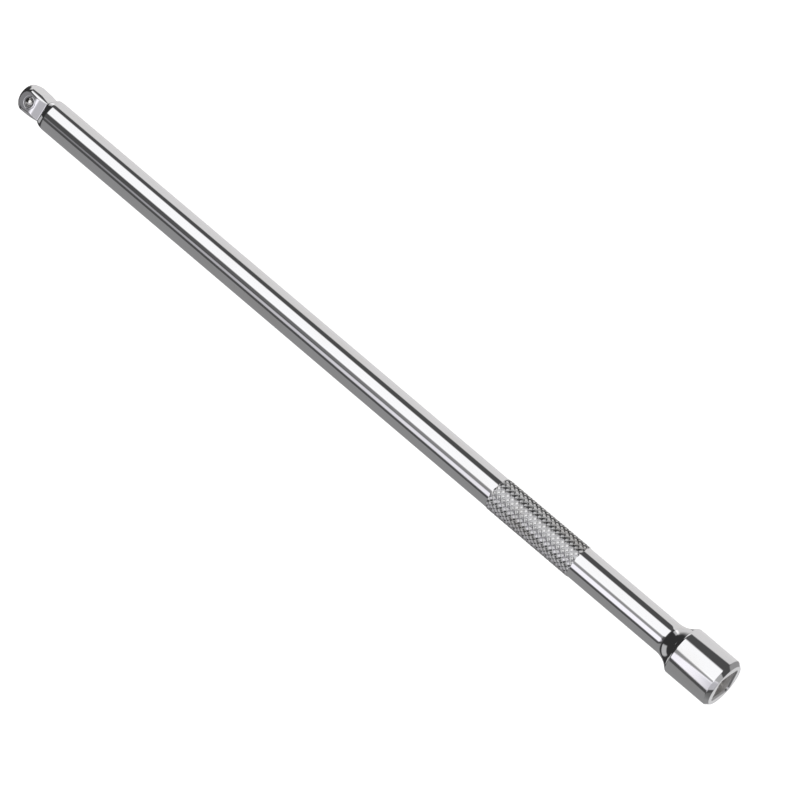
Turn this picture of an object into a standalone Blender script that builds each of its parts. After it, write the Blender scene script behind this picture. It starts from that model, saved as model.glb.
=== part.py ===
"""Half-inch drive wobble extension bar, 18 inches long: one chromed bar and the spring ball in its drive.

The bar lies along X. Its square drive points to +X and its square socket opens at -X. The detent ball sits in
the drive flat that faces +Z. The origin is on the axis, halfway along the bar. All sizes are in metres.
"""

import math

import bmesh
import bpy
import numpy as np

# Overall
OVERALL_LENGTH = 0.4572
SHAFT_DIAMETER = 0.0167

# Socket head
HEAD_WALL = 0.0061
HEAD_LENGTH = 0.0262
HEAD_FLARE_LENGTH = 0.0088
HEAD_RIM_BREAK = 0.0006
MOUTH_CHAMFER_DEPTH = 0.0016
MOUTH_CHAMFER_LENGTH = 0.0020
SOCKET_CLEARANCE = 0.0001
SOCKET_SPARE_DEPTH = 0.0007
SOCKET_CORNER_RADIUS = 0.0020
SOCKET_LEAD_IN = 0.0008
SOCKET_CLOCKING = math.radians(22.5)
PILOT_UNDERSIZE = 0.0006
PILOT_EXTRA_DEPTH = 0.0015
DRILL_POINT_ANGLE = math.radians(118.0)
RECESS_RADIUS = 0.0030
RECESS_DEPTH = 0.0009

# Knurled band
KNURL_FROM_MOUTH = 0.0897
KNURL_LENGTH = 0.0516
KNURL_STARTS = 18
KNURL_CREST = 0.00035
KNURL_ROOT = 0.00035

# Square drive, measured from its tip
DRIVE_SQUARE = 0.0127
DRIVE_LENGTH = 0.0161
BARREL_OVER_FLATS = 0.0017
BARREL_END_OVER_FLATS = 0.0010
NOSE_LENGTH = 0.0055
TIP_FACE_DIAMETER = 0.0088
RELIEF_ANGLE = math.radians(10.0)
RELIEF_WALL_ANGLE = math.radians(60.0)
NECK_LAND = 0.0003
SHOULDER_HEIGHT = 0.0003
SHOULDER_CROWN_LENGTH = 0.0036

# Detent
BALL_DIAMETER = 0.0050
BALL_FROM_TIP = 0.0074
BALL_PROTRUSION = 0.0015
BALL_CLEARANCE = 0.00015
BALL_LAND = 0.00055
BORE_FLOOR_WALL = 0.0033
SPRING_CLEARANCE = 0.00035
SPRING_WIRE = 0.00055
SPRING_TURNS = 6
SEAT_GAP = 0.0003

# How finely round shapes are cut into facets
SIDES = 2 * KNURL_STARTS
ARC_STEPS = 6
CORNER_STEPS = 3
LIP_STEPS = 2
BORE_SIDES = 24
BALL_SEGMENTS = 20
BALL_RINGS = 12
COIL_POINTS_PER_TURN = 12
OVERCUT = 0.004

# Derived places and sizes
TIP_X = OVERALL_LENGTH / 2
MOUTH_X = -OVERALL_LENGTH / 2
SHAFT_RADIUS = SHAFT_DIAMETER / 2
DRIVE_HALF = DRIVE_SQUARE / 2
BARREL_RADIUS = DRIVE_HALF + BARREL_OVER_FLATS
BARREL_END_RADIUS = DRIVE_HALF + BARREL_END_OVER_FLATS
SOCKET_HALF = DRIVE_HALF + SOCKET_CLEARANCE
SOCKET_DEPTH = DRIVE_LENGTH + SOCKET_SPARE_DEPTH
HEAD_RADIUS = SOCKET_HALF + HEAD_WALL
BALL_RADIUS = BALL_DIAMETER / 2
BALL_X = TIP_X - BALL_FROM_TIP
BALL_Z = DRIVE_HALF + BALL_PROTRUSION - BALL_RADIUS
BORE_RADIUS = BALL_RADIUS + BALL_CLEARANCE
BORE_FLOOR_Z = BORE_FLOOR_WALL - DRIVE_HALF
FLAT_LENGTH = BALL_FROM_TIP + BORE_RADIUS + BALL_LAND


def clear_scene():
    for old in list(bpy.data.objects):
        bpy.data.objects.remove(old, do_unlink=True)


def steel(name, colour, roughness):
    """A bare or plated metal."""
    material = bpy.data.materials.new(name)
    material.use_nodes = True
    shader = material.node_tree.nodes["Principled BSDF"]
    shader.inputs["Base Color"].default_value = (*colour, 1.0)
    shader.inputs["Metallic"].default_value = 1.0
    shader.inputs["Roughness"].default_value = roughness
    material.diffuse_color = (*colour, 1.0)
    return material


def place(name, data, parent=None, location=(0.0, 0.0, 0.0), roll=0.0):
    """Adds an object at a location, turned about X by roll."""
    placed = bpy.data.objects.new(name, data)
    placed.location = location
    placed.rotation_euler = (roll, 0.0, 0.0)
    placed.parent = parent
    bpy.context.scene.collection.objects.link(placed)
    return placed


def smooth(mesh, angle=math.radians(30.0)):
    mesh.shade_smooth()
    mesh.set_sharp_from_angle(angle=angle)


def tangent_arc(start, end):
    """Points of the arc that leaves start along the axis and ends at end, both (place, radius)."""
    span = end[0] - start[0]
    rise = end[1] - start[1]
    radius = (span**2 + rise**2) / (2.0 * abs(rise))
    sweep = math.atan2(abs(span), radius - abs(rise))
    turn = np.linspace(0.0, sweep, ARC_STEPS + 1)
    along = start[0] + math.copysign(radius, span) * np.sin(turn)
    out = start[1] + math.copysign(radius, rise) * (1.0 - np.cos(turn))
    return [*zip(along.tolist(), out.tolist())]


def ring(x, radius):
    """A circle of points about the X axis; radius is one number, or one for each point."""
    angle = np.arange(SIDES) * 2.0 * math.pi / SIDES
    return np.column_stack([np.full(SIDES, x), radius * np.cos(angle), radius * np.sin(angle)])


def rounded_square(x, half, corner):
    """A square ring of points about the X axis with round corners."""
    turn = np.linspace(0.0, math.pi / 2.0, CORNER_STEPS + 1)
    points = []
    for quarter in range(4):
        centre = math.pi / 4.0 + quarter * math.pi / 2.0
        reach = math.sqrt(2.0) * (half - corner)
        angle = turn + quarter * math.pi / 2.0
        y = reach * math.cos(centre) + corner * np.cos(angle)
        z = reach * math.sin(centre) + corner * np.sin(angle)
        points.append(np.column_stack([np.full(y.size, x), y, z]))
    return np.concatenate(points)


def skin(name, rings, first_valley=None, valleys=range(0)):
    """Closes a stack of equal rings, in order of rising X, into one body.

    Between the rings in valleys, each four-sided patch is split along the diagonal that joins its two low
    points, which alternate from first_valley.
    """
    size = len(rings[0])
    faces = [list(reversed(range(size)))]
    for row in range(len(rings) - 1):
        low, high = row * size, (row + 1) * size
        for column in range(size):
            after = (column + 1) % size
            a, b, c, d = low + column, low + after, high + after, high + column
            if row not in valleys:
                faces.append([a, b, c, d])
            elif (row + column) % 2 == first_valley:
                faces += [[a, b, c], [a, c, d]]
            else:
                faces += [[a, b, d], [b, c, d]]
    top = (len(rings) - 1) * size
    faces.append(list(range(top, top + size)))
    mesh = bpy.data.meshes.new(name)
    mesh.from_pydata(np.concatenate(rings).tolist(), [], faces)
    return mesh


def head_outline():
    """Socket head from its mouth face to the end of the flared throat."""
    flare_x = MOUTH_X + HEAD_LENGTH
    flare = tangent_arc(
        (flare_x + HEAD_FLARE_LENGTH, SHAFT_RADIUS),
        (flare_x, HEAD_RADIUS - HEAD_RIM_BREAK),
    )
    return [
        (MOUTH_X, HEAD_RADIUS - MOUTH_CHAMFER_DEPTH),
        (MOUTH_X + MOUTH_CHAMFER_LENGTH, HEAD_RADIUS),
        (flare_x - HEAD_RIM_BREAK, HEAD_RADIUS),
        *reversed(flare),
    ]


def drive_outline():
    """Turned shape of the drive, from the crown of the shaft's shoulder to the tip face."""
    neck_x = TIP_X - DRIVE_LENGTH
    shoulder = (neck_x, BARREL_END_RADIUS + SHOULDER_HEIGHT)
    crown = tangent_arc((neck_x - SHOULDER_CROWN_LENGTH, SHAFT_RADIUS), shoulder)
    nose = tangent_arc((TIP_X - NOSE_LENGTH, BARREL_RADIUS), (TIP_X, TIP_FACE_DIAMETER / 2))
    return [*crown, (neck_x + NECK_LAND, BARREL_END_RADIUS), *nose]


def knurl_rings():
    """Rings whose points are high and low in turn: pyramids between two sets of helical grooves."""
    step = math.pi * SHAFT_DIAMETER / SIDES
    rows = 2 * round(KNURL_LENGTH / (2.0 * step))
    step = KNURL_LENGTH / rows
    start = MOUTH_X + KNURL_FROM_MOUTH
    column = np.arange(SIDES)
    rings = [ring(start, SHAFT_RADIUS)]
    for row in range(1, rows):
        high = (row + column) % 2 == 1
        radius = SHAFT_RADIUS + np.where(high, KNURL_CREST, -KNURL_ROOT)
        rings.append(ring(start + row * step, radius))
    rings.append(ring(start + KNURL_LENGTH, SHAFT_RADIUS))
    return rings


def bar_blank():
    """The turned and knurled bar before its socket, flats and ball hole are cut."""
    head = [ring(x, radius) for x, radius in head_outline()]
    knurl = knurl_rings()
    drive = [ring(x, radius) for x, radius in drive_outline()]
    first = len(head)
    rows = range(first, first + len(knurl) - 1)
    mesh = skin("bar", [*head, *knurl, *drive], first_valley=first % 2, valleys=rows)
    smooth(mesh)
    return mesh


def flat_cutter():
    """A slab over one face of the drive: level over the flat, then sloping in to the neck."""
    relief_end = TIP_X - DRIVE_LENGTH + NECK_LAND
    relief_start = TIP_X - FLAT_LENGTH
    bottom = DRIVE_HALF - (relief_start - relief_end) * math.tan(RELIEF_ANGLE)
    top = HEAD_RADIUS + OVERCUT
    wall_start = relief_end - (top - bottom) / math.tan(RELIEF_WALL_ANGLE)
    side = [
        (TIP_X + OVERCUT, DRIVE_HALF),
        (relief_start, DRIVE_HALF),
        (relief_end, bottom),
        (wall_start, top),
        (TIP_X + OVERCUT, top),
    ]
    shape = bmesh.new()
    outline = [shape.verts.new((x, -HEAD_RADIUS, z)) for x, z in side]
    face = shape.faces.new(outline)
    swept = bmesh.ops.extrude_face_region(shape, geom=[face])["geom"]
    moved = [item for item in swept if isinstance(item, bmesh.types.BMVert)]
    bmesh.ops.translate(shape, verts=moved, vec=(0.0, 2.0 * HEAD_RADIUS, 0.0))
    bmesh.ops.recalc_face_normals(shape, faces=shape.faces)
    return to_mesh(shape, "flat_cutter")


def to_mesh(shape, name):
    mesh = bpy.data.meshes.new(name)
    shape.to_mesh(mesh)
    shape.free()
    return mesh


def socket_cutter():
    """The broached square with its lead-in, open past the mouth."""
    mouth_half = SOCKET_HALF + SOCKET_LEAD_IN
    overcut = SOCKET_LEAD_IN
    rings = [
        rounded_square(MOUTH_X - overcut, mouth_half + overcut, SOCKET_CORNER_RADIUS + overcut),
        rounded_square(MOUTH_X + SOCKET_LEAD_IN, SOCKET_HALF, SOCKET_CORNER_RADIUS),
        rounded_square(MOUTH_X + SOCKET_DEPTH, SOCKET_HALF, SOCKET_CORNER_RADIUS),
    ]
    return skin("socket_cutter", rings)


def turned_cutter(name, outline):
    """A body turned about local Z from (radius, height) points that run up its outer side."""
    shape = bmesh.new()
    points = [(0.0, outline[0][1]), *outline, (0.0, outline[-1][1])]
    verts = [shape.verts.new((radius, 0.0, height)) for radius, height in points]
    edges = [shape.edges.new(pair) for pair in zip(verts, verts[1:])]
    bmesh.ops.spin(
        shape, geom=[*verts, *edges], cent=(0.0, 0.0, 0.0), axis=(0.0, 0.0, 1.0),
        angle=2.0 * math.pi, steps=BORE_SIDES,
    )
    bmesh.ops.remove_doubles(shape, verts=shape.verts, dist=1e-6)
    bmesh.ops.recalc_face_normals(shape, faces=shape.faces)
    return to_mesh(shape, name)


def pilot_cutter():
    """The drilled hole that the square was broached in, with its drill point."""
    radius = SOCKET_HALF - PILOT_UNDERSIZE / 2
    point = radius / math.tan(DRILL_POINT_ANGLE / 2)
    tip_flat = radius / BORE_SIDES
    depth = SOCKET_DEPTH + PILOT_EXTRA_DEPTH
    return turned_cutter("pilot_cutter", [
        (radius, SOCKET_DEPTH / 2),
        (radius, depth),
        (tip_flat, depth + point),
    ])


def recess_cutter():
    """The dimple in each wall of the socket that the mating ball springs into."""
    shape = bmesh.new()
    bmesh.ops.create_uvsphere(
        shape, u_segments=BALL_SEGMENTS, v_segments=BALL_RINGS, radius=RECESS_RADIUS,
    )
    return to_mesh(shape, "recess_cutter")


def bore_cutter():
    """The blind hole for ball and spring, drawn in round the ball at its mouth so that it can't leave.

    The facets touch the true radius from outside, so that they keep their clearance from the ball.
    """
    height = np.linspace(0.0, DRIVE_HALF - BALL_Z, LIP_STEPS + 1)
    lip = np.sqrt(BORE_RADIUS**2 - height**2)
    outline = [
        (BORE_RADIUS, BORE_FLOOR_Z),
        *zip(lip.tolist(), (BALL_Z + height).tolist()),
        (float(lip[-1]), DRIVE_HALF + OVERCUT),
    ]
    outward = 1.0 / math.cos(math.pi / BORE_SIDES)
    return turned_cutter("bore_cutter", [(radius * outward, z) for radius, z in outline])


def cut(body, cutter):
    """Takes cutter out of body, and keeps cutter as a guide only."""
    cutter.hide_render = True
    cutter.display_type = "WIRE"
    boolean = body.modifiers.new(cutter.name, "BOOLEAN")
    boolean.operation = "DIFFERENCE"
    boolean.solver = "EXACT"
    boolean.object = cutter


def quarter_turns(start=0.0):
    return [start + quarter * math.pi / 2.0 for quarter in range(4)]


def make_bar(parent, chrome):
    blank = bar_blank()
    blank.materials.append(chrome)
    bar = place("bar", blank, parent)
    slab = flat_cutter()
    for number, roll in enumerate(quarter_turns()):
        cut(bar, place(f"flat_cutter_{number}", slab, parent, roll=roll))
    cut(bar, place("socket_cutter", socket_cutter(), parent, roll=-SOCKET_CLOCKING))
    pilot = place("pilot_cutter", pilot_cutter(), parent, location=(MOUTH_X, 0.0, 0.0))
    pilot.rotation_euler = (0.0, math.pi / 2.0, 0.0)
    cut(bar, pilot)
    dimple = recess_cutter()
    x = MOUTH_X + DRIVE_LENGTH - BALL_FROM_TIP
    reach = SOCKET_HALF + RECESS_DEPTH - RECESS_RADIUS
    for number, roll in enumerate(quarter_turns(-SOCKET_CLOCKING)):
        centre = (x, -reach * math.sin(roll), reach * math.cos(roll))
        cut(bar, place(f"recess_cutter_{number}", dimple, parent, centre, roll))
    cut(bar, place("bore_cutter", bore_cutter(), parent, location=(BALL_X, 0.0, 0.0)))
    return bar


def make_ball(parent, bearing_steel):
    shape = bmesh.new()
    bmesh.ops.create_uvsphere(
        shape, u_segments=BALL_SEGMENTS, v_segments=BALL_RINGS, radius=BALL_RADIUS,
    )
    mesh = to_mesh(shape, "detent_ball")
    mesh.shade_smooth()
    mesh.materials.append(bearing_steel)
    return place("detent_ball", mesh, parent, location=(BALL_X, 0.0, BALL_Z))


def make_spring(parent, spring_steel):
    """A coil from the hole's floor to the underside of the ball."""
    wire_radius = SPRING_WIRE / 2
    coil_radius = BORE_RADIUS - SPRING_CLEARANCE - wire_radius
    low = BORE_FLOOR_Z + SEAT_GAP + wire_radius
    from_ball = BALL_RADIUS + wire_radius + SEAT_GAP
    high = BALL_Z - math.sqrt(from_ball**2 - coil_radius**2)
    count = SPRING_TURNS * COIL_POINTS_PER_TURN + 1
    turn = np.linspace(0.0, 2.0 * math.pi * SPRING_TURNS, count)
    curve = bpy.data.curves.new("detent_spring", "CURVE")
    curve.dimensions = "3D"
    curve.bevel_depth = wire_radius
    curve.bevel_resolution = 1
    curve.use_fill_caps = True
    curve.materials.append(spring_steel)
    spline = curve.splines.new("POLY")
    spline.points.add(count - 1)
    height = np.linspace(0.0, high - low, count)
    for point, angle, z in zip(spline.points, turn, height):
        point.co = (coil_radius * math.cos(angle), coil_radius * math.sin(angle), z, 1.0)
    return place("detent_spring", curve, parent, location=(BALL_X, 0.0, low))


def main():
    clear_scene()
    frame = place("extension_bar", None)
    make_bar(frame, steel("polished_chrome", (0.82, 0.82, 0.83), 0.06))
    make_ball(frame, steel("bearing_steel", (0.70, 0.69, 0.68), 0.12))
    make_spring(frame, steel("spring_steel", (0.42, 0.41, 0.40), 0.30))


main()
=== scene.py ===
"""Studio model of a half-inch drive wobble extension bar.

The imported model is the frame. The bar's fine surface, the detent ball and its spring are worked out here as
numpy surfaces round the frame's own sizes, dressed in steel and plate, and set under soft studio light.
"""

import logging
import math
from dataclasses import dataclass, field
from enum import Enum
from typing import Sequence

import bpy
import numpy as np
from mathutils import Matrix, Vector
from numpy.typing import NDArray


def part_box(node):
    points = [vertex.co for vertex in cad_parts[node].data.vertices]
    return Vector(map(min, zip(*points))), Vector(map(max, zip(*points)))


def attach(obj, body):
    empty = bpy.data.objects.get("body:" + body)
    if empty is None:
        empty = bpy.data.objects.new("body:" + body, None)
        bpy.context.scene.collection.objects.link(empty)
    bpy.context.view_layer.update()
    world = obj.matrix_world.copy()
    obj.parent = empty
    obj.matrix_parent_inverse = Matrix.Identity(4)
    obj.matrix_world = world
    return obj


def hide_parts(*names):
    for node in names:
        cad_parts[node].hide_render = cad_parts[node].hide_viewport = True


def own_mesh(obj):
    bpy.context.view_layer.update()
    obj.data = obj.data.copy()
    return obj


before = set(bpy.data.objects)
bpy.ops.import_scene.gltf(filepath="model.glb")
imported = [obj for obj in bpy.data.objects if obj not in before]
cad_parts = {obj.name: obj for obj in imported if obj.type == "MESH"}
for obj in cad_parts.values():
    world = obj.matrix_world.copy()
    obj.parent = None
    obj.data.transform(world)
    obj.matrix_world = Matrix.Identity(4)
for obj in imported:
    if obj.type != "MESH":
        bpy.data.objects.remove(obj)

Array = NDArray[np.float64]
log = logging.getLogger("extension_bar")

MILLIMETRE = 0.001


class Slot(Enum):
    """The record's material slots."""

    CHROME = "polished_chrome"
    BALL = "bearing_steel"
    SPRING = "spring_steel"


class Skin(Enum):
    """The finishes that meet on the bar, in the order of its material slots."""

    POLISHED = 0
    KNURLED = 1
    SOCKET = 2


# ---- Curves and surfaces -----------------------------------


def tangent_arc(start: Sequence[float], end: Sequence[float], steps: int) -> Array:
    """Points of a circular arc that leaves start parallel to the axis and passes through end.

    A chord of span s and rise h belongs to a circle of radius (s^2 + h^2) / 2h. Each point is that radius
    times (sine, 1 - cosine) of its turn from the start.

    Args:
        start: place along the axis, and radius, where the arc is level.
        end: place and radius where it stops.
        steps: how many chords the arc is cut into.

    Returns:
        Array of (place, radius) rows.
    """
    span, rise = end[0] - start[0], end[1] - start[1]
    radius = (span**2 + rise**2) / (2.0 * abs(rise))
    turn = np.linspace(0.0, math.atan2(abs(span), radius - abs(rise)), steps + 1)
    along = start[0] + math.copysign(radius, span) * np.sin(turn)
    out = start[1] + math.copysign(radius, rise) * (1.0 - np.cos(turn))
    return np.column_stack([along, out])


def fillet(before: Array, corner: Array, after: Array, radius: float, steps: int) -> Array:
    """A rounded corner between two straight stretches.

    The arc touches both stretches at radius / tan(half the corner's angle) from the corner, and its centre
    lies on the bisector at radius / sin(half the angle).

    Args:
        before: the point that the outline comes from.
        corner: the sharp corner.
        after: the point that it goes on to.
        radius: the arc's radius.
        steps: how many chords the arc is cut into.

    Returns:
        Array of (place, radius) rows along the arc.
    """
    back = (before - corner) / np.linalg.norm(before - corner)
    ahead = (after - corner) / np.linalg.norm(after - corner)
    half = math.acos(float(np.clip(back @ ahead, -1.0, 1.0))) / 2.0
    bisector = (back + ahead) / np.linalg.norm(back + ahead)
    centre = corner + bisector * radius / math.sin(half)
    first = corner + back * radius / math.tan(half) - centre
    last = corner + ahead * radius / math.tan(half) - centre
    share = np.linspace(0.0, 1.0, steps + 1)[:, None]
    sweep = math.pi - 2.0 * half
    arc = (np.sin((1.0 - share) * sweep) * first + np.sin(share * sweep) * last) / math.sin(sweep)
    return centre + arc


def soft_min(a: Array, b: Array, width: float) -> Array:
    """The lower of two surfaces, with the edge where they cross rounded over.

    Where they differ by less than width, the two are mixed by how far they differ, less width times the mix
    times one minus the mix, which leaves both with no kink.

    Args:
        a: heights of one surface.
        b: heights of the other.
        width: the difference within which they are mixed.

    Returns:
        Array of the rounded lower envelope.
    """
    mix = np.clip(0.5 + 0.5 * (b - a) / width, 0.0, 1.0)
    return b + (a - b) * mix - width * mix * (1.0 - mix)


def full_turn(sides: int) -> Array:
    """Angles of a number of points shared evenly round a circle."""
    return np.arange(sides) * 2.0 * math.pi / sides


def off_middle(angle: Array) -> Array:
    """How far each angle is from the nearest of four flats' middles, which stand a quarter turn apart."""
    return np.abs((angle + math.pi / 4.0) % (math.pi / 2.0) - math.pi / 4.0)


def tube_rings(path: Array, radius: Array, sides: int) -> Array:
    """Circles of points square to a path.

    Each circle's frame is square to the tangent, with one side level (square to Z), so a coil about Z doesn't
    twist.

    Args:
        path: (n, 3) points of the centre line.
        radius: (n,) radius at each.
        sides: points round each circle.

    Returns:
        Array (n, sides, 3).
    """
    tangent = np.gradient(path, axis=0)
    tangent /= np.linalg.norm(tangent, axis=1, keepdims=True)
    side = np.cross(tangent, [0.0, 0.0, 1.0])
    side /= np.linalg.norm(side, axis=1, keepdims=True)
    other = np.cross(side, tangent)
    angle = full_turn(sides)[None, :, None]
    circle = np.cos(angle) * side[:, None] + np.sin(angle) * other[:, None]
    return path[:, None] + radius[:, None, None] * circle


@dataclass
class RingSurface:
    """A closed surface: rings of points from one pole to the other, each joined to the next.

    Attributes:
        rings: (rows, columns, 3) points.
        first_pole: the point that closes the first ring.
        last_pole: the point that closes the last.
        skins: one finish number for each band between two rings.
        rising: true for each patch that is split along the diagonal from its first corner.
    """

    rings: Array
    first_pole: Array
    last_pole: Array
    skins: NDArray[np.int32] | None = None
    rising: NDArray[np.bool_] | None = None

    def triangles(self) -> NDArray[np.int32]:
        """Two triangles for each patch, in row order, and a fan at each pole.

        A patch has corners at (row, column), (row, next), (row + 1, next) and (row + 1, column). One diagonal
        or the other divides it, as rising says.

        Returns:
            Array (n, 3) of point numbers.
        """
        rows, columns = self.rings.shape[:2]
        number = np.arange(rows * columns, dtype=np.int32).reshape(rows, columns)
        onward = np.roll(number, -1, axis=1)
        a, b, c, d = number[:-1], onward[:-1], onward[1:], number[1:]
        rising = self.rising if self.rising is not None else np.ones(a.shape, bool)
        one = np.where(rising[..., None], np.stack([a, b, c], -1), np.stack([a, b, d], -1))
        two = np.where(rising[..., None], np.stack([a, c, d], -1), np.stack([b, c, d], -1))
        body = np.stack([one, two], axis=2).reshape(-1, 3)
        first, last = rows * columns, rows * columns + 1
        start = np.stack([onward[0], number[0], np.full(columns, first)], -1)
        end = np.stack([number[-1], onward[-1], np.full(columns, last)], -1)
        return np.concatenate([body, start, end]).astype(np.int32)

    def mesh(self, name: str, sharp: float) -> bpy.types.Mesh:
        """The surface as a smooth-shaded mesh.

        Args:
            name: the mesh's name.
            sharp: the angle between faces, in radians, above which an edge stays sharp.

        Returns:
            The new mesh.
        """
        points = np.concatenate([self.rings.reshape(-1, 3), self.first_pole[None], self.last_pole[None]])
        faces = self.triangles()
        mesh = bpy.data.meshes.new(name)
        mesh.vertices.add(len(points))
        mesh.vertices.foreach_set("co", points.astype(np.float32).ravel())
        mesh.loops.add(faces.size)
        mesh.loops.foreach_set("vertex_index", faces.ravel())
        mesh.polygons.add(len(faces))
        mesh.polygons.foreach_set("loop_start", np.arange(0, faces.size, 3, dtype=np.int32))
        if self.skins is not None:
            columns = self.rings.shape[1]
            bands = np.repeat(self.skins, 2 * columns)
            poles = np.repeat(self.skins[[0, -1]], columns)
            mesh.polygons.foreach_set("material_index", np.concatenate([bands, poles]).astype(np.int32))
        mesh.update(calc_edges=True)
        mesh.validate()
        mesh.shade_smooth()
        mesh.set_sharp_from_angle(angle=sharp)
        return mesh


def add_object(name: str, data: bpy.types.ID) -> bpy.types.Object:
    """Links a new object that holds data and sits at the origin."""
    made = bpy.data.objects.new(name, data)
    bpy.context.scene.collection.objects.link(made)
    return made


def subtract(body: bpy.types.Object, cutters: Sequence[bpy.types.Object]) -> None:
    """Cuts each cutter out of body for good, and removes the cutters.

    Args:
        body: the object that is cut. Its mesh is replaced.
        cutters: closed meshes in the same frame.
    """
    for cutter in cutters:
        boolean = body.modifiers.new(cutter.name, "BOOLEAN")
        boolean.operation = "DIFFERENCE"
        boolean.solver = "EXACT"
        boolean.object = cutter
    bpy.context.view_layer.update()
    graph = bpy.context.evaluated_depsgraph_get()
    cut = bpy.data.meshes.new_from_object(body.evaluated_get(graph))
    body.modifiers.clear()
    body.data = cut
    for cutter in cutters:
        bpy.data.objects.remove(cutter)


# ---- Shader building blocks --------------------------------


def add_group(name: str, inputs: dict[str, float], outputs: Sequence[str]) -> bpy.types.NodeTree:
    """A new shader node group with float inputs and outputs, and a vector input named Place.

    Args:
        name: the group's name.
        inputs: float input names and their defaults.
        outputs: float output names.

    Returns:
        The group, with its input and output nodes in it.
    """
    group = bpy.data.node_groups.new(name, "ShaderNodeTree")
    face = group.interface
    face.new_socket("Place", in_out="INPUT", socket_type="NodeSocketVector")
    for title, value in inputs.items():
        face.new_socket(title, in_out="INPUT", socket_type="NodeSocketFloat").default_value = value
    for title in outputs:
        face.new_socket(title, in_out="OUTPUT", socket_type="NodeSocketFloat")
    group.nodes.new("NodeGroupInput").name = "In"
    group.nodes.new("NodeGroupOutput").name = "Out"
    return group


@dataclass
class Wiring:
    """Adds nodes to one tree and joins them.

    Attributes:
        tree: the node tree that is wired.
    """

    tree: bpy.types.NodeTree

    def feed(self, socket: bpy.types.NodeSocket, value: object) -> None:
        """Links a socket to another, or sets its value."""
        if isinstance(value, bpy.types.NodeSocket):
            self.tree.links.new(value, socket)
        else:
            socket.default_value = value

    def math(self, operation: str, *values: object) -> bpy.types.NodeSocket:
        """A Math node's result for up to three values or sockets."""
        node = self.tree.nodes.new("ShaderNodeMath")
        node.operation = operation
        for socket, value in zip(node.inputs, values):
            self.feed(socket, value)
        return node.outputs[0]

    def vector(self, operation: str, first: object, second: object) -> bpy.types.NodeSocket:
        """A Vector Math node's result for two vectors, colours or values."""
        node = self.tree.nodes.new("ShaderNodeVectorMath")
        node.operation = operation
        self.feed(node.inputs[0], first)
        self.feed(node.inputs[1], second)
        return node.outputs[0]

    def noise(
        self, place: object, scale: object, detail: float, roughness: float = 0.5,
    ) -> bpy.types.NodeSocket:
        """Fractal noise between 0 and 1 at a place."""
        node = self.tree.nodes.new("ShaderNodeTexNoise")
        self.feed(node.inputs["Vector"], place)
        self.feed(node.inputs["Scale"], scale)
        node.inputs["Detail"].default_value = detail
        node.inputs["Roughness"].default_value = roughness
        return node.outputs["Fac"]

    def ramp(
        self, value: object, low: float, high: float, out: Sequence[float] = (0.0, 1.0),
    ) -> bpy.types.NodeSocket:
        """A value mapped smoothly from the range low to high onto out, and held at its ends."""
        node = self.tree.nodes.new("ShaderNodeMapRange")
        node.interpolation_type = "SMOOTHSTEP"
        self.feed(node.inputs["Value"], value)
        node.inputs["From Min"].default_value, node.inputs["From Max"].default_value = low, high
        node.inputs["To Min"].default_value, node.inputs["To Max"].default_value = out
        return node.outputs["Result"]

    def blend(self, share: object, first: object, second: object) -> bpy.types.NodeSocket:
        """A mix of two colours."""
        node = self.tree.nodes.new("ShaderNodeMix")
        node.data_type = "RGBA"
        colours = [socket for socket in node.inputs if socket.type == "RGBA"]
        self.feed(node.inputs["Factor"], share)
        self.feed(colours[0], first)
        self.feed(colours[1], second)
        return next(socket for socket in node.outputs if socket.type == "RGBA")

    def group(self, group: bpy.types.NodeTree, **values: object) -> bpy.types.Node:
        """A placed group, with its named inputs fed."""
        node = self.tree.nodes.new("ShaderNodeGroup")
        node.node_tree = group
        for title, value in values.items():
            self.feed(node.inputs[title], value)
        return node

    def bump(self, height: object, strength: float, depth: float) -> bpy.types.NodeSocket:
        """A normal bent by a height, which is worth depth metres from 0 to 1."""
        node = self.tree.nodes.new("ShaderNodeBump")
        node.inputs["Strength"].default_value = strength
        node.inputs["Distance"].default_value = depth
        self.feed(node.inputs["Height"], height)
        return node.outputs["Normal"]

    def place(self) -> bpy.types.NodeSocket:
        """The piece's own Object coordinates, in metres."""
        return self.tree.nodes.new("ShaderNodeTexCoord").outputs["Object"]


WAVES_PER_METRE = (14.0, 60.0, 60.0)
HAIRS_PER_METRE = (60.0, 5200.0, 5200.0)
BLOTCHES_PER_METRE = (35.0, 90.0, 90.0)
HAIR_DEPTH = 0.03  # beside a wave's
HAZED_FROM = (0.48, 0.72)  # blotch noise
PITTED_FROM = (0.5, 0.75)  # grain noise


def polish_group() -> bpy.types.NodeTree:
    """What grinding and buffing leave under plate.

    Height is slow waviness plus hair lines drawn out lengthways. Haze is a blotchy mask of wiping marks.
    """
    group = add_group("polish", {"Hair": 0.35, "Wave": 1.0}, ("Height", "Haze"))
    wires = Wiring(group)
    into, out = group.nodes["In"], group.nodes["Out"]
    place = into.outputs["Place"]
    wave = wires.noise(wires.vector("MULTIPLY", place, WAVES_PER_METRE), 1.0, 1.0)
    hair = wires.noise(wires.vector("MULTIPLY", place, HAIRS_PER_METRE), 1.0, 2.0)
    height = wires.math("ADD", wires.math("MULTIPLY", wave, into.outputs["Wave"]),
                        wires.math("MULTIPLY", wires.math("MULTIPLY", hair, HAIR_DEPTH), into.outputs["Hair"]))
    blotch = wires.noise(wires.vector("MULTIPLY", place, BLOTCHES_PER_METRE), 1.0, 4.0, 0.6)
    wires.feed(out.inputs["Height"], height)
    wires.feed(out.inputs["Haze"], wires.ramp(blotch, *HAZED_FROM))
    return group


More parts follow.
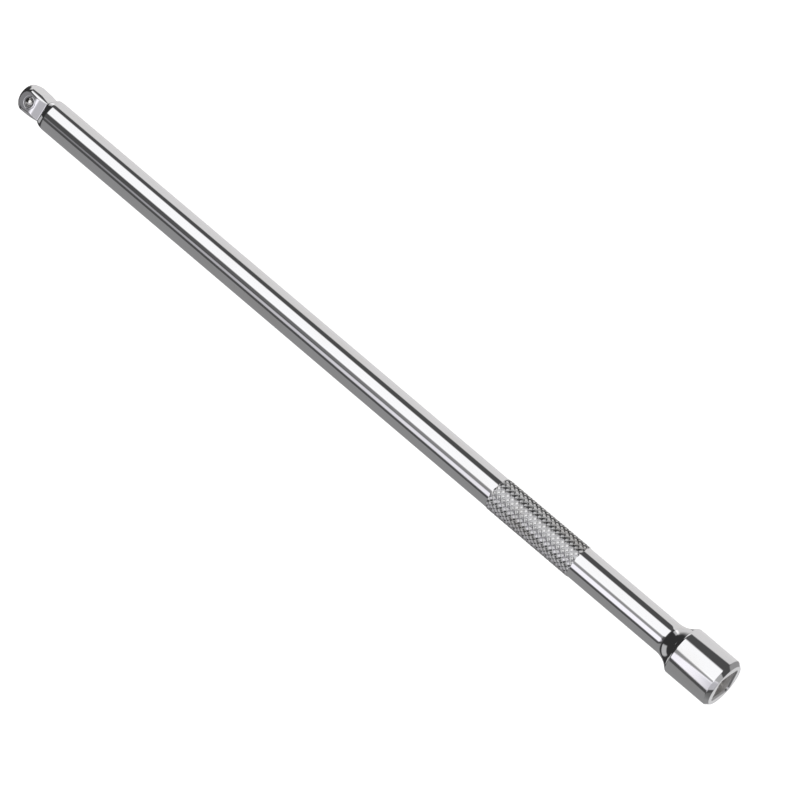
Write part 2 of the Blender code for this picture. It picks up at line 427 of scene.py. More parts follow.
def speck_group() -> bpy.types.NodeTree:
    """Fine pits and grains as a mask from 0 to 1, at a given number to the metre."""
    group = add_group("specks", {"Density": 2500.0}, ("Mask",))
    wires = Wiring(group)
    into = group.nodes["In"]
    grain = wires.noise(into.outputs["Place"], into.outputs["Density"], 3.0, 0.65)
    wires.feed(group.nodes["Out"].inputs["Mask"], wires.ramp(grain, *PITTED_FROM))
    return group


@dataclass(frozen=True)
class Effects:
    """The node groups that the finishes share."""

    polish: bpy.types.NodeTree = field(default_factory=polish_group)
    specks: bpy.types.NodeTree = field(default_factory=speck_group)


@dataclass(frozen=True)
class MetalFinish:
    """A metal surface: plated, bare or oiled.

    Attributes:
        name: the material's name.
        colour: the metal's reflection at a clean spot.
        stain: its reflection where it is hazed or stained.
        roughness: roughness at a clean spot.
        haze: how much rougher the hazed spots are.
        stained: how far the stain colour shows there, from 0 to 1.
        wave: depth of the slow waviness, in metres.
        hair: strength of the hair lines beside the waviness.
        grain: depth of fine grain, in metres.
        density: grains to the metre.
    """

    name: str
    colour: tuple[float, float, float]
    stain: tuple[float, float, float]
    roughness: float
    haze: float = 0.03
    stained: float = 0.3
    wave: float = 2e-5
    hair: float = 0.35
    grain: float = 0.0
    density: float = 2500.0

    def build(self, effects: Effects) -> bpy.types.Material:
        """The node material: coloured haze, uneven roughness and a fine bump.

        Args:
            effects: the shared groups.

        Returns:
            A new metallic material.
        """
        material = bpy.data.materials.new(self.name)
        material.use_nodes = True
        wires = Wiring(material.node_tree)
        shader = material.node_tree.nodes["Principled BSDF"]
        place = wires.place()
        polish = wires.group(effects.polish, Place=place, Hair=self.hair)
        specks = wires.group(effects.specks, Place=place, Density=self.density)
        haze = polish.outputs["Haze"]
        share = wires.math("MULTIPLY", haze, self.stained)
        wires.feed(shader.inputs["Base Color"], wires.blend(share, (*self.colour, 1.0), (*self.stain, 1.0)))
        rough = wires.math("MULTIPLY_ADD", haze, self.haze, self.roughness)
        wires.feed(shader.inputs["Roughness"], rough)
        shader.inputs["Metallic"].default_value = 1.0
        waves = wires.math("MULTIPLY", polish.outputs["Height"], self.wave / MILLIMETRE)
        grains = wires.math("MULTIPLY", specks.outputs["Mask"], self.grain / MILLIMETRE)
        height = wires.math("ADD", waves, grains)
        wires.feed(shader.inputs["Normal"], wires.bump(height, 1.0, MILLIMETRE))
        return material


POLISHED_CHROME = MetalFinish("polished_chrome", (0.80, 0.80, 0.815), (0.74, 0.72, 0.70), 0.055)
# The knurl's plate colour is darker than the polished chrome's: painted shade over the knurled band. Its
# rougher grain and stained blotches are real.
KNURL_CHROME_PAINTED_SHADE = MetalFinish(
    "knurl_chrome_painted_shade", (0.69, 0.69, 0.695), (0.50, 0.48, 0.46), 0.13, stained=0.6, grain=6e-6, hair=0.0,
)
# The hole's plate colour is brighter than the polished chrome's: painted light on the socket's walls. Its
# satin roughness, grain and stained blotches are real.
SOCKET_PLATE_PAINTED_LIGHT = MetalFinish(
    "socket_plate_painted_light", (0.86, 0.85, 0.84), (0.55, 0.53, 0.51), 0.68, stained=0.6, grain=1.2e-5, hair=0.0,
)
BEARING_STEEL = MetalFinish("bearing_steel", (0.72, 0.71, 0.70), (0.50, 0.45, 0.40), 0.07, wave=0.0)
SPRING_STEEL = MetalFinish(
    "spring_steel", (0.38, 0.37, 0.36), (0.20, 0.18, 0.16), 0.32, wave=0.0, grain=4e-6, density=9000.0,
)


# ---- The bar -----------------------------------------------


@dataclass
class ExtensionBar:
    """The one-piece bar: socket head, throat, shaft, knurled band, neck and square drive.

    Places are measured along X. Its ends and the head's radius come from the frame.

    Attributes:
        socket_clocking: how far the socket's square is turned from the drive's.
        knurl_flat_top: how high a tooth would stand if it ran to a point, beside its cut-off height.
        knurl_run_in: how far the threads take to reach full height at the band's ends, in teeth.
        edge_softness: the difference in height within which two faces are rounded into each other.
        drive_row, wall_row: the largest steps between rings over the drive and down the socket's walls.
        guard: how close plain rings stand beside the knurled band.
        flat_share: the part of the columns that lies on the flats.
        face_shares, lead_shares, step_share, point_shares: where rings stand across the mouth's face, the
            lead-in, the step to the drilled hole and its point.
        sharp_edge: the angle between faces above which an edge isn't shaded smooth.
    """

    shaft_radius: float = 8.35 * MILLIMETRE
    head_length: float = 26.2 * MILLIMETRE
    flare_length: float = 8.8 * MILLIMETRE
    rim_radius: float = 0.6 * MILLIMETRE
    rim_crown: float = 2.0 * MILLIMETRE
    chamfer_depth: float = 1.6 * MILLIMETRE
    chamfer_length: float = 2.0 * MILLIMETRE
    edge_radius: float = 0.25 * MILLIMETRE
    socket_half: float = 6.45 * MILLIMETRE
    socket_depth: float = 16.8 * MILLIMETRE
    socket_corner: float = 2.0 * MILLIMETRE
    lead_in: float = 0.8 * MILLIMETRE
    pilot_radius: float = 6.15 * MILLIMETRE
    pilot_extra: float = 1.5 * MILLIMETRE
    drill_point_half_angle: float = math.radians(59.0)
    socket_clocking: float = math.radians(22.5)
    recess_radius: float = 3.0 * MILLIMETRE
    recess_depth: float = 0.9 * MILLIMETRE
    knurl_from_mouth: float = 89.7 * MILLIMETRE
    knurl_length: float = 51.6 * MILLIMETRE
    knurl_starts: int = 18
    knurl_crest: float = 0.27 * MILLIMETRE
    knurl_root: float = 0.27 * MILLIMETRE
    knurl_flat_top: float = 2.1
    knurl_run_in: float = 0.25
    drive_half: float = 6.35 * MILLIMETRE
    drive_length: float = 16.1 * MILLIMETRE
    barrel_radius: float = 8.05 * MILLIMETRE
    barrel_end_radius: float = 7.35 * MILLIMETRE
    nose_length: float = 5.5 * MILLIMETRE
    tip_face_radius: float = 4.4 * MILLIMETRE
    flat_length: float = 10.6 * MILLIMETRE
    relief_angle: float = math.radians(10.0)
    relief_wall_angle: float = math.radians(60.0)
    neck_land: float = 0.3 * MILLIMETRE
    shoulder_height: float = 0.3 * MILLIMETRE
    crown_length: float = 3.6 * MILLIMETRE
    edge_softness: float = 0.22 * MILLIMETRE
    drive_row: float = 0.253 * MILLIMETRE
    wall_row: float = 0.402 * MILLIMETRE
    guard: float = 0.12 * MILLIMETRE
    edge_chords: int = 4
    rim_chords: int = 12
    flare_chords: int = 28
    crown_chords: int = 16
    nose_chords: int = 40
    columns_per_start: int = 12
    flat_share: float = 5.0 / 9.0
    face_shares: tuple[float, ...] = (0.25, 0.5, 0.75, 0.97, 1.0)
    lead_shares: tuple[float, ...] = (0.04, 0.96)
    step_share: float = 0.95
    point_shares: tuple[float, ...] = (0.03, 0.5, 0.95)
    sharp_edge: float = math.radians(28.0)

    def __post_init__(self) -> None:
        """Takes the ends and the head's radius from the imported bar."""
        low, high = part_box("bar")
        self.mouth_x, self.tip_x = float(low[0]), float(high[0])
        self.head_radius = float(high[2])
        self.columns = self.knurl_starts * self.columns_per_start

    # The turned outline --------------------------------------

    def head_outline(self) -> Array:
        """Mouth edge, chamfer, head, rim and concave throat, as (place, radius) rows from the mouth."""
        flare_x = self.mouth_x + self.head_length
        face = np.array([self.mouth_x, self.head_radius - self.chamfer_depth])
        shoulder = np.array([self.mouth_x + self.chamfer_length, self.head_radius])
        flare = tangent_arc(
            (flare_x + self.flare_length, self.shaft_radius),
            (flare_x, self.head_radius - self.rim_radius),
            self.flare_chords,
        )[::-1]
        slope = (flare[0] - flare[1]) / np.linalg.norm(flare[0] - flare[1])
        rim = flare[0] + slope * self.rim_radius / slope[1]
        inside = np.array([self.mouth_x, self.socket_half])
        return np.concatenate([
            fillet(inside, face, shoulder, self.edge_radius, self.edge_chords),
            fillet(face, shoulder, rim, 2.0 * self.edge_radius, self.edge_chords),
            fillet(shoulder, rim, flare[0], self.rim_crown, self.rim_chords),
            flare[1:],
        ])

    def knurl_rows(self) -> Array:
        """Places of the rings across the knurled band: one for each column's width."""
        step = 2.0 * math.pi * self.shaft_radius / self.columns
        count = self.columns_per_start * round(self.knurl_length / (step * self.columns_per_start))
        start = self.mouth_x + self.knurl_from_mouth
        return np.linspace(start, start + self.knurl_length, count + 1)

    def plain_rings(self, x: Array) -> Array:
        """Round rings of the shaft's own radius, which keep the knurl out of the shading on either side."""
        angle = self.angles(np.full(len(x), self.shaft_radius), np.full(len(x), 2.0 * self.head_radius))
        return self.from_polar(x, angle, np.full(angle.shape, self.shaft_radius))

    def drive_outline(self) -> Array:
        """Shaft end, crowned shoulder, neck, barrel, nose and tip edge, as rows from the shaft to the tip."""
        neck_x = self.tip_x - self.drive_length
        shoulder = (neck_x, self.barrel_end_radius + self.shoulder_height)
        crown_start = (neck_x - self.crown_length, self.shaft_radius)
        crown = tangent_arc(crown_start, shoulder, self.crown_chords)
        neck = np.array([[neck_x + self.neck_land, self.barrel_end_radius]])
        nose_start = (self.tip_x - self.nose_length, self.barrel_radius)
        nose = tangent_arc(nose_start, (self.tip_x, self.tip_face_radius), self.nose_chords)
        edge = fillet(nose[-2], nose[-1], np.array([self.tip_x, 0.0]), self.edge_radius, self.edge_chords)
        return np.concatenate([crown, neck, nose[:-3], edge])

    def fill_rows(self, outline: Array, step: float) -> Array:
        """The same outline with points added so that no two are further apart than step."""
        pieces = [outline[:1]]
        for start, end in zip(outline, outline[1:]):
            count = max(1, math.ceil(float(np.linalg.norm(end - start)) / step))
            share = np.linspace(0.0, 1.0, count + 1)[1:, None]
            pieces.append(start + (end - start) * share)
        return np.concatenate(pieces)

    # Cross-sections ------------------------------------------

    def flat_height(self, x: Array) -> Array:
        """How far the drive's ground faces stand from the axis at each place.

        Level over the flat, then falling at the relief angle, then rising at the wall angle out of the neck.
        """
        from_tip = self.tip_x - x
        relief = self.drive_half - (from_tip - self.flat_length) * math.tan(self.relief_angle)
        level = np.full_like(x, self.drive_half)
        faces = soft_min(level, relief, self.edge_softness)
        relief_end = self.drive_length - self.neck_land
        bottom = self.drive_half - (relief_end - self.flat_length) * math.tan(self.relief_angle)
        wall = bottom + (from_tip - relief_end) * math.tan(self.relief_wall_angle)
        return -soft_min(-faces, -wall, self.edge_softness)

    def angles(self, radius: Array, flat: Array) -> Array:
        """Angles of the columns from +Z for each ring.

        In each quarter the columns are shared between flat and corner. The border stands at the flat's edge,
        whose cosine is flat height over radius, but never nearer the flat's middle than even spacing puts it.

        Args:
            radius: the turned radius of each ring.
            flat: the flat height of each ring.

        Returns:
            Array (rings, columns) in radians, rising.
        """
        quarter = self.columns // 4
        on_flat = round(quarter * self.flat_share)
        even = self.flat_share * math.pi / 4.0
        edge = np.maximum(np.arccos(np.clip(flat / radius, -1.0, 1.0)), even)[:, None]
        flat_part = np.linspace(-1.0, 1.0, on_flat + 1)[None, :-1] * edge
        corner_share = np.linspace(0.0, 1.0, quarter - on_flat + 1)[None, :-1]
        corner_part = edge + (math.pi / 2.0 - 2.0 * edge) * corner_share
        one = np.concatenate([flat_part, corner_part], axis=1)
        return np.concatenate([one + turn * math.pi / 2.0 for turn in range(4)], axis=1)

    def outer_rings(self, outline: Array) -> Array:
        """The bar's outside: the turned radius, cut down to the nearest of the four flats.

        A flat at height h is h / cos(angle) from the axis. The lower of that and the turned radius is kept.
        """
        x, radius = outline[:, 0], outline[:, 1]
        flat = self.flat_height(x)
        beyond = x < self.tip_x - self.drive_length - self.crown_length
        flat = np.where(beyond, 2.0 * self.head_radius, flat)
        angle = self.angles(radius, flat)
        ground = flat[:, None] / np.cos(off_middle(angle))
        reach = soft_min(np.broadcast_to(radius[:, None], ground.shape), ground, self.edge_softness)
        return self.from_polar(x, angle, reach)

    @staticmethod
    def from_polar(x: Array, angle: Array, reach: Array) -> Array:
        """Points at a place along X, an angle from +Z towards -Y, and a distance from the axis."""
        along = np.broadcast_to(x[:, None], reach.shape)
        return np.stack([along, -reach * np.sin(angle), reach * np.cos(angle)], axis=-1)

    def knurl_rings(self) -> Array:
        """The knurled band: two sets of V grooves at 45 degrees, left and right handed.

        Each set is a triangle wave of the angle plus or minus the place, with one tooth to a start. A point's
        height is the lower of the two waves, cut off level at the crests and eased in at the band's ends.
        """
        x = self.knurl_rows()
        column = np.arange(self.columns)[None, :] / self.columns_per_start
        row = np.arange(len(x))[:, None] / self.columns_per_start
        waves = [1.0 - np.abs(2.0 * ((column + hand * row) % 1.0) - 1.0) for hand in (1.0, -1.0)]
        tooth = np.minimum(1.0, self.knurl_flat_top * np.minimum(*waves))
        height = -self.knurl_root + (self.knurl_crest + self.knurl_root) * tooth
        from_end = np.minimum(row, row[::-1])
        height = height * np.clip(from_end / self.knurl_run_in, 0.0, 1.0)
        angle = self.angles(np.full(len(x), self.shaft_radius), np.full(len(x), self.head_radius))
        return self.from_polar(x, angle, self.shaft_radius + height)

    def square_reach(self, angle: Array, half: Array, corner: Array) -> Array:
        """Distance from the axis to a round-cornered square.

        Away from the corners it is half / cos(angle). Near a corner it is the ray's far crossing of the
        corner's circle, whose centre is half - corner from both middle lines.

        Args:
            angle: angles from a flat's middle, any size.
            half: half the square's width.
            corner: its corner radius.

        Returns:
            Array of distances.
        """
        off_flat = off_middle(angle)
        flat = half / np.cos(off_flat)
        inset = half - corner
        along = inset * (np.cos(off_flat) + np.sin(off_flat))
        across = inset * (np.cos(off_flat) - np.sin(off_flat))
        round_part = along + np.sqrt(np.maximum(corner**2 - across**2, 0.0))
        return np.where(half * np.tan(off_flat) > inset, round_part, flat)

    def socket_rings(self) -> Array:
        """The mouth face, lead-in, square walls with their recesses, and the step down to the drilled hole.

        Rings shrink from the face's outer circle to the square, then follow it inwards. A ring stands close
        beside each edge, and keeps it crisp.
        """
        angle = self.angles(np.array([self.head_radius]), np.array([2.0 * self.head_radius]))
        square_angle = angle + self.socket_clocking
        rows: list[Array] = []

        def add(depth: float, reach: Array) -> None:
            rows.append(self.from_polar(np.array([self.mouth_x + depth]), angle, reach))

        face_radius = self.head_radius - self.chamfer_depth - self.edge_radius
        lead = self.lead_in
        mouth = self.square_reach(square_angle, self.socket_half + lead, self.socket_corner + lead)
        for share in self.face_shares:
            add(0.0, face_radius + (mouth - face_radius) * share)
        wall = self.square_reach(square_angle, self.socket_half, self.socket_corner)
        for share in self.lead_shares:
            add(share * lead, mouth + (wall - mouth) * share)
        for depth in np.arange(lead, self.socket_depth, self.wall_row):
            add(float(depth), wall)
        add(self.socket_depth, wall)
        pilot = np.full_like(wall, self.pilot_radius)
        add(self.socket_depth, wall + (pilot - wall) * self.step_share)
        add(self.socket_depth + (1.0 - self.step_share) * self.pilot_extra, pilot)
        add(self.socket_depth + self.pilot_extra, pilot)
        for share in self.point_shares:
            depth = self.pilot_radius * share / math.tan(self.drill_point_half_angle)
            add(self.socket_depth + self.pilot_extra + depth, pilot * (1.0 - share))
        return self.with_recesses(np.concatenate(rows))

    def with_recesses(self, rings: Array) -> Array:
        """Presses a round dimple into each wall of the square, where the mating ball springs out.

        A wall point moves out along the wall's normal to a sphere centred on the wall's middle line, where the
        sphere reaches beyond the wall.
        """
        depth = self.drive_length - (self.tip_x - ball_centre()[0])
        centre_out = self.socket_half + self.recess_depth - self.recess_radius
        along = rings[..., 0] - self.mouth_x - depth
        for turn in range(4):
            roll = turn * math.pi / 2.0 - self.socket_clocking
            normal = np.array([0.0, -math.sin(roll), math.cos(roll)])
            across = np.array([0.0, math.cos(roll), math.sin(roll)])
            out, side = rings @ normal, rings @ across
            room = self.recess_radius**2 - along**2 - side**2
            sphere = centre_out + np.sqrt(np.maximum(room, 0.0))
            on_wall = (out > self.socket_half - 0.01 * MILLIMETRE) & (room > 0.0)
            push = np.where(on_wall & (sphere > out), sphere - out, 0.0)
            rings = rings + push[..., None] * normal
        return rings

    # The piece -----------------------------------------------

    def surface(self) -> RingSurface:
        """The whole bar, from the bottom of its drilled hole over the mouth and along to the drive's tip."""
        inside = self.socket_rings()[::-1]
        head = self.outer_rings(self.head_outline())
        knurl = self.knurl_rings()
        drive = self.outer_rings(self.fill_rows(self.drive_outline(), self.drive_row))
        edges = self.knurl_rows()[[0, -1]]
        before = self.plain_rings(edges[0] - self.guard * np.array([2.0, 1.0]))
        after = self.plain_rings(edges[1] + self.guard * np.array([1.0, 2.0]))
        parts = [inside, np.concatenate([head, before]), knurl, np.concatenate([after, drive])]
        rings = np.concatenate(parts)
        ends = np.cumsum([len(part) for part in parts])
        skins = np.full(len(rings) - 1, Skin.POLISHED.value)
        in_hole = rings[:-1, :, 0].min(axis=1) > self.mouth_x + 0.98 * self.lead_in
        skins[: ends[0] - 1] = np.where(in_hole[: ends[0] - 1], Skin.SOCKET.value, Skin.POLISHED.value)
        skins[ends[1] : ends[2] - 1] = Skin.KNURLED.value
        rising = np.ones((len(rings) - 1, self.columns), bool)
        row = np.arange(len(knurl) - 1)[:, None]
        column = np.arange(self.columns)[None, :]
        rising[ends[1] : ends[2] - 1] = (row + column + 1) % self.columns_per_start != 0
        point = self.pilot_radius / math.tan(self.drill_point_half_angle)
        bottom = self.mouth_x + self.socket_depth + self.pilot_extra + point
        return RingSurface(
            rings, np.array([bottom, 0.0, 0.0]), np.array([self.tip_x, 0.0, 0.0]), skins, rising,
        )

    def build(self, effects: Effects) -> bpy.types.Object:
        """Makes the bar, cuts the ball's hole and dresses it.

        Args:
            effects: the shared shader groups.

        Returns:
            The finished object, riding on the bar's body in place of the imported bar.
        """
        bar = add_object("extension_bar", self.surface().mesh("extension_bar", self.sharp_edge))
        for finish in (POLISHED_CHROME, KNURL_CHROME_PAINTED_SHADE, SOCKET_PLATE_PAINTED_LIGHT):
            bar.data.materials.append(finish.build(effects))
        subtract(bar, [BallHole().cutter(self.drive_half), BallHole().stake_ring(self.drive_half)])
        bar.data.shade_smooth()
        bar.data.set_sharp_from_angle(angle=self.sharp_edge)
        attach(bar, "bar")
        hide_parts("bar")
        return bar


# ---- The detent --------------------------------------------


def ball_centre() -> Array:
    """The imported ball's middle."""
    low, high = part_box("detent_ball")
    return (np.array(low) + np.array(high)) / 2.0


def ball_radius() -> float:
    """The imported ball's radius, from its height."""
    low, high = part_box("detent_ball")
    return float(high[2] - low[2]) / 2.0


def turned(outline: Array, centre: Array, sides: int, rise: float = 0.0) -> RingSurface:
    """A closed body turned about a line through centre along Z.

    Args:
        outline: (radius, height) rows from the lowest to the highest, without the points on the axis.
        centre: where the axis stands; heights are measured from the frame's origin.
        sides: points round each ring.
        rise: how far each pole stands beyond the last ring.

    Returns:
        The surface.
    """
    angle = full_turn(sides)
    x = centre[0] + outline[:, :1] * np.cos(angle)
    y = centre[1] + outline[:, :1] * np.sin(angle)
    z = np.broadcast_to(outline[:, 1:], x.shape)
    low = np.array([centre[0], centre[1], outline[0, 1] - rise])
    high = np.array([centre[0], centre[1], outline[-1, 1] + rise])
    return RingSurface(np.stack([x, y, z], axis=-1), low, high)


@dataclass
class BallHole:
    """The blind hole for ball and spring, and the ring that was punched round it to keep the ball in."""

    clearance: float = 0.15 * MILLIMETRE
    floor_z: float = -3.05 * MILLIMETRE
    overcut: float = 3.0 * MILLIMETRE
    stake_radius: float = 3.15 * MILLIMETRE
    stake_tool_radius: float = 0.42 * MILLIMETRE
    stake_depth: float = 0.07 * MILLIMETRE
    sides: int = 96
    stake_sides: int = 16
    lip_rows: int = 7
    sharp_edge: float = math.radians(30.0)

    def cutter(self, face_z: float) -> bpy.types.Object:
        """The hole's shape: straight up to the ball's middle, then closing round the ball at the clearance.

        Args:
            face_z: height of the flat that the hole opens in.

        Returns:
            A closed cutter.
        """
        centre, reach = ball_centre(), ball_radius() + self.clearance
        height = np.linspace(0.0, face_z - centre[2], self.lip_rows)
        lip = np.column_stack([np.sqrt(reach**2 - height**2), centre[2] + height])
        outline = np.concatenate([
            [[reach, self.floor_z]], lip, [[lip[-1, 0], face_z + self.overcut]],
        ])
        surface = turned(outline, centre, self.sides)
        return add_object("ball_hole", surface.mesh("ball_hole", self.sharp_edge))

    def stake_ring(self, face_z: float) -> bpy.types.Object:
        """The punched ring: a torus sunk into the flat by the stake's depth."""
        around, across = full_turn(self.sides)[:, None], full_turn(self.stake_sides)[None, :]
        centre = ball_centre()
        reach = self.stake_radius + self.stake_tool_radius * np.cos(across)
        x, y = centre[0] + reach * np.cos(around), centre[1] + reach * np.sin(around)
        z = face_z + self.stake_tool_radius * (1.0 + np.sin(across)) - self.stake_depth
        points = np.stack([x, y, np.broadcast_to(z, x.shape)], axis=-1)
        number = np.arange(x.size).reshape(x.shape)
        ahead, up = np.roll(number, -1, axis=0), np.roll(number, -1, axis=1)
        both = np.roll(ahead, -1, axis=1)
        faces = np.stack([number, ahead, both, up], axis=-1).reshape(-1, 4)
        mesh = bpy.data.meshes.new("stake_ring")
        mesh.from_pydata(points.reshape(-1, 3), [], faces.tolist())
        return add_object("stake_ring", mesh)


@dataclass
class DetentBall:
    """The sprung ball that holds a socket on the drive."""

    rows: int = 48
    columns: int = 96

    def build(self, effects: Effects) -> bpy.types.Object:
        """A sphere of latitude rings: radius times (sine, cosine) of the angle from its lowest point.

        Args:
            effects: the shared shader groups.

        Returns:
            The ball, riding on the ball's body.
        """
        centre, radius = ball_centre(), ball_radius()
        turn = np.linspace(0.0, math.pi, self.rows + 1)[1:-1]
        outline = np.column_stack([radius * np.sin(turn), centre[2] - radius * np.cos(turn)])
        surface = turned(outline, centre, self.columns, radius * (1.0 - math.cos(turn[0])))
        ball = add_object("ball", surface.mesh("ball", math.pi))
        ball.data.materials.append(BEARING_STEEL.build(effects))
        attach(ball, "ball")
        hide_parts("detent_ball")
        return ball


@dataclass
class DetentSpring:
    """The coil spring under the ball, with closed end turns."""

    wire_radius: float = 0.275 * MILLIMETRE
    turns: float = 7.5
    closed_turns: float = 1.0
    closed_pitch: float = 1.01
    sides: int = 16
    points_per_turn: int = 36
    sharp_edge: float = math.radians(50.0)

    def build(self, effects: Effects) -> bpy.types.Object:
        """A wire swept along a helix.

        The coil climbs at an even rate but for the end turns, where the rise per turn is one wire thickness.

        Args:
            effects: the shared shader groups.

        Returns:
            The spring, riding on the bar.
        """
        low, high = (np.array(corner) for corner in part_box("detent_spring"))
        coil = float(high[1] - low[1]) / 2.0 - self.wire_radius
        bottom, top = low[2] + self.wire_radius, high[2] - self.wire_radius
        turn = np.linspace(0.0, self.turns, int(self.turns * self.points_per_turn) + 1)
        closed_rise = self.closed_pitch * 2.0 * self.wire_radius
        both_ends = 2.0 * self.closed_turns
        open_rise = (top - bottom - both_ends * closed_rise) / (self.turns - both_ends)
        ends = np.minimum(turn, self.closed_turns) + np.maximum(turn - self.turns + self.closed_turns, 0.0)
        z = bottom + ends * closed_rise + (turn - ends) * open_rise
        centre = (low + high) / 2.0
        angle = 2.0 * math.pi * turn
        path = np.column_stack([centre[0] + coil * np.cos(angle), centre[1] + coil * np.sin(angle), z])
        rings = tube_rings(path, np.full(len(path), self.wire_radius), self.sides)
        mesh = RingSurface(rings, path[0], path[-1]).mesh("spring", self.sharp_edge)
        spring = add_object("spring", mesh)
        spring.data.materials.append(SPRING_STEEL.build(effects))
        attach(spring, "bar")
        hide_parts("detent_spring")
        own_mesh(spring)
        return spring


# ---- The studio --------------------------------------------


@dataclass(frozen=True)
class LightBand:
    """A soft panel of the room that runs the length of the bar.

    A direction belongs to it by two measures: its angle about the bar, and its share along +X.

    Attributes:
        low: angle from straight up, towards +Y, where the band starts, in degrees.
        high: where it ends.
        level: its brightness where it is full.
        edge: how many degrees each side fades over.
        drift: how many degrees low and high each move by as the share along +X rises by one.
        far: the shares between which it fades out towards +X.
        near: the shares between which it fades as the share falls.
        rest: how much of the level is left past the near fade.
        tint: its colour.
    """

    low: float
    high: float
    level: float
    edge: float = 4.0
    drift: tuple[float, float] = (0.0, 0.0)
    far: tuple[float, float] = (0.44, 0.49)
    near: tuple[float, float] = (-0.35, -0.7)
    rest: float = 0.35
    tint: tuple[float, float, float] = (1.0, 1.0, 1.0)


DRIFT_MIDDLE = 0.34
DRIFT_RANGE = (0.05, 0.45)
BANDS = (
    LightBand(-180.0, 180.0, 0.05, far=(0.45, 0.55), rest=1.0),
    LightBand(-66.0, -10.0, 1.1, edge=8.0, drift=(-16.0, -30.0)),
    LightBand(-9.0, 8.0, 0.24, edge=6.0, far=(0.28, 0.42)),
    LightBand(12.5, 33.0, 1.14, edge=7.0, drift=(60.0, -75.0), far=(0.25, 0.49), near=(0.24, 0.12), rest=0.42,
              tint=(0.99, 0.97, 1.03)),
    LightBand(50.0, 146.0, 0.215, edge=6.0, drift=(-75.0, 0.0)),
    LightBand(146.0, 180.0, 0.62, edge=24.0),
    LightBand(-180.0, -98.0, 0.70, edge=7.0, drift=(0.0, 66.0), far=(0.7, 0.9), near=(0.22, 0.05), rest=0.36,
              tint=(1.01, 0.995, 0.985)),
    LightBand(34.0, 110.0, 0.5, edge=14.0, far=(0.8, 0.86), near=(0.6, 0.56), rest=0.0),
    LightBand(-106.0, -74.0, 0.5, edge=12.0, far=(0.8, 0.86), near=(0.6, 0.56), rest=0.0),
)
ROOM_LEVEL = 0.035


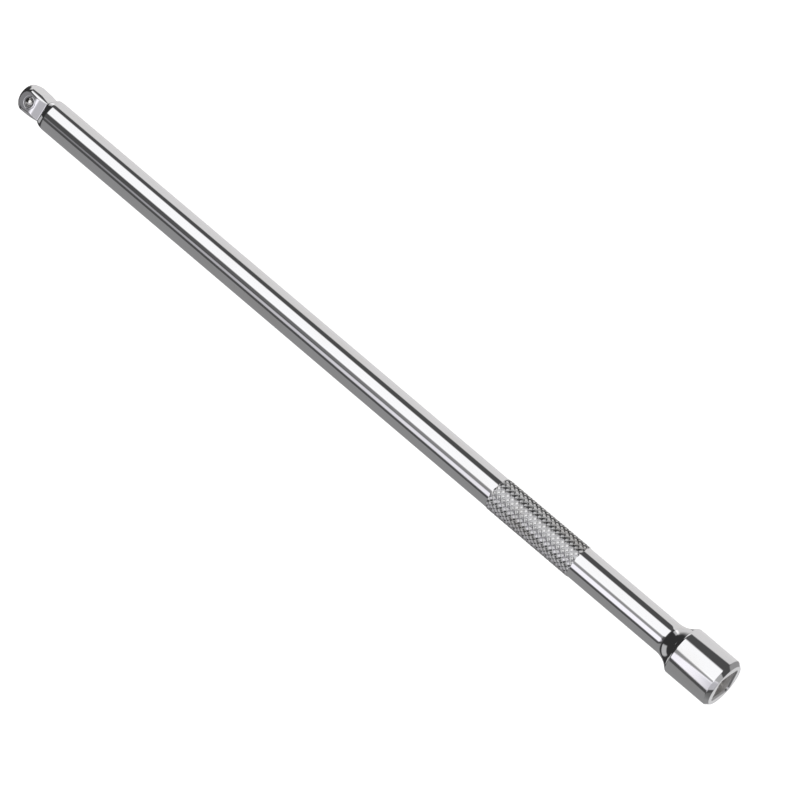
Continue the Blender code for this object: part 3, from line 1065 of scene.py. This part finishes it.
@dataclass
class Studio:
    """Floor, surrounding light and camera."""

    floor_size: float = 1.1
    floor_albedo: float = 0.86
    floor_glow: float = 0.8
    floor_roughness: float = 0.9
    backdrop: tuple[float, float, float] = (1.0, 1.0, 1.0)
    lens_mm: float = 203.5
    camera_distance: float = 2.1167
    camera_lean: float = math.radians(19.45)
    camera_roll: float = math.radians(20.0)
    picture_slope: float = math.radians(40.24)
    aim: tuple[float, float, float] = (-0.02105, -0.00366, -0.0011)
    clip: tuple[float, float] = (0.05, 50.0)

    def build(self) -> None:
        """Makes everything that isn't the object."""
        self.floor()
        self.world()
        self.camera()
        bpy.context.scene.view_settings.view_transform = "Standard"

    def floor(self) -> None:
        """A pale sheet that the bar's rim and shaft end rest on, seen by the camera but not in the chrome."""
        bar = ExtensionBar()
        rim_x = bar.mouth_x + bar.head_length - bar.rim_radius
        crown_x = bar.tip_x - bar.drive_length - bar.crown_length
        slope = (bar.head_radius - bar.shaft_radius) / (crown_x - rim_x)
        half = self.floor_size / 2.0
        corners = [(-half, -half), (half, -half), (half, half), (-half, half)]
        points = [(x, y, -bar.head_radius + slope * (x - rim_x)) for x, y in corners]
        mesh = bpy.data.meshes.new("floor")
        mesh.from_pydata(points, [], [(0, 1, 2, 3)])
        floor = add_object("floor", mesh)
        material = bpy.data.materials.new("floor")
        material.use_nodes = True
        shader = material.node_tree.nodes["Principled BSDF"]
        albedo = self.floor_albedo
        shader.inputs["Base Color"].default_value = (albedo, albedo, albedo, 1.0)
        shader.inputs["Roughness"].default_value = self.floor_roughness
        shader.inputs["Emission Color"].default_value = (1.0, 1.0, 1.0, 1.0)
        shader.inputs["Emission Strength"].default_value = self.floor_glow
        floor.data.materials.append(material)
        floor.visible_glossy = False

    def world(self) -> None:
        """A dark room with long soft panels, and a plain backdrop where the camera looks straight at it."""
        world = bpy.data.worlds.new("studio")
        bpy.context.scene.world = world
        world.use_nodes = True
        wires = Wiring(world.node_tree)
        ray = world.node_tree.nodes.new("ShaderNodeTexCoord").outputs["Generated"]
        split = world.node_tree.nodes.new("ShaderNodeSeparateXYZ")
        wires.feed(split.inputs[0], ray)
        radians = wires.math("ARCTAN2", split.outputs["Y"], split.outputs["Z"])
        angle = wires.math("MULTIPLY", radians, 180.0 / math.pi)
        share = split.outputs["X"]
        total: object = (ROOM_LEVEL, ROOM_LEVEL, ROOM_LEVEL)
        held = wires.math("MINIMUM", wires.math("MAXIMUM", share, DRIFT_RANGE[0]), DRIFT_RANGE[1])
        from_middle = wires.math("SUBTRACT", held, DRIFT_MIDDLE)
        for band in BANDS:
            half = band.edge / 2.0
            starts, ends = (band.low - half, band.low + half), (band.high - half, band.high + half)
            low = wires.math("MULTIPLY_ADD", from_middle, -band.drift[0], angle)
            high = wires.math("MULTIPLY_ADD", from_middle, -band.drift[1], angle)
            rise = wires.ramp(low, *starts) if band.low > -180.0 else 1.0
            fall = wires.ramp(high, *ends, (1.0, 0.0)) if band.high < 180.0 else 1.0
            far = wires.ramp(share, *band.far, (1.0, 0.0))
            near = wires.ramp(share, band.near[1], band.near[0], (band.rest, 1.0))
            across = wires.math("MULTIPLY", rise, fall)
            along = wires.math("MULTIPLY", far, near)
            colour = [band.level * channel for channel in band.tint]
            light = wires.vector("MULTIPLY", wires.math("MULTIPLY", across, along), colour)
            total = wires.vector("ADD", total, light)
        background = world.node_tree.nodes["Background"]
        path = world.node_tree.nodes.new("ShaderNodeLightPath")
        seen = wires.blend(path.outputs["Is Camera Ray"], total, (*self.backdrop, 1.0))
        wires.feed(background.inputs["Color"], seen)

    def camera(self) -> None:
        """Places the camera from its lean along the bar, its roll about it and the bar's slope in the view.

        The view's axes are worked out in the bar's frame: across the bar, and square to it towards the lens.
        """
        lean, roll, slope = self.camera_lean, self.camera_roll, self.picture_slope
        across = Vector((0.0, math.cos(roll), math.sin(roll)))
        square = Vector((0.0, -math.sin(roll), math.cos(roll)))
        axis = Vector((1.0, 0.0, 0.0))
        back = -math.sin(lean) * axis + math.cos(lean) * square
        along = -math.cos(lean) * axis - math.sin(lean) * square
        right = math.cos(slope) * along - math.sin(slope) * across
        up = -math.sin(slope) * along - math.cos(slope) * across
        lens = bpy.data.cameras.new("camera")
        lens.lens = self.lens_mm
        lens.clip_start, lens.clip_end = self.clip
        camera = add_object("camera", lens)
        turn = Matrix((right, up, back)).transposed().to_4x4()
        camera.matrix_world = Matrix.Translation(Vector(self.aim) + back * self.camera_distance) @ turn
        bpy.context.scene.camera = camera


def report(piece: bpy.types.Object) -> None:
    """Logs a piece's size and how many triangles it has."""
    size = " x ".join(f"{value / MILLIMETRE:.1f}" for value in piece.dimensions)
    log.info("%s: %s mm, %d faces", piece.name, size, len(piece.data.polygons))


def main() -> None:
    """Builds the pieces in order, then the studio."""
    logging.basicConfig(level=logging.INFO, format="%(name)s %(message)s")
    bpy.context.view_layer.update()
    effects = Effects()
    for maker in (ExtensionBar(), DetentBall(), DetentSpring()):
        report(maker.build(effects))
    Studio().build()


if __name__ == "__main__":
    main()
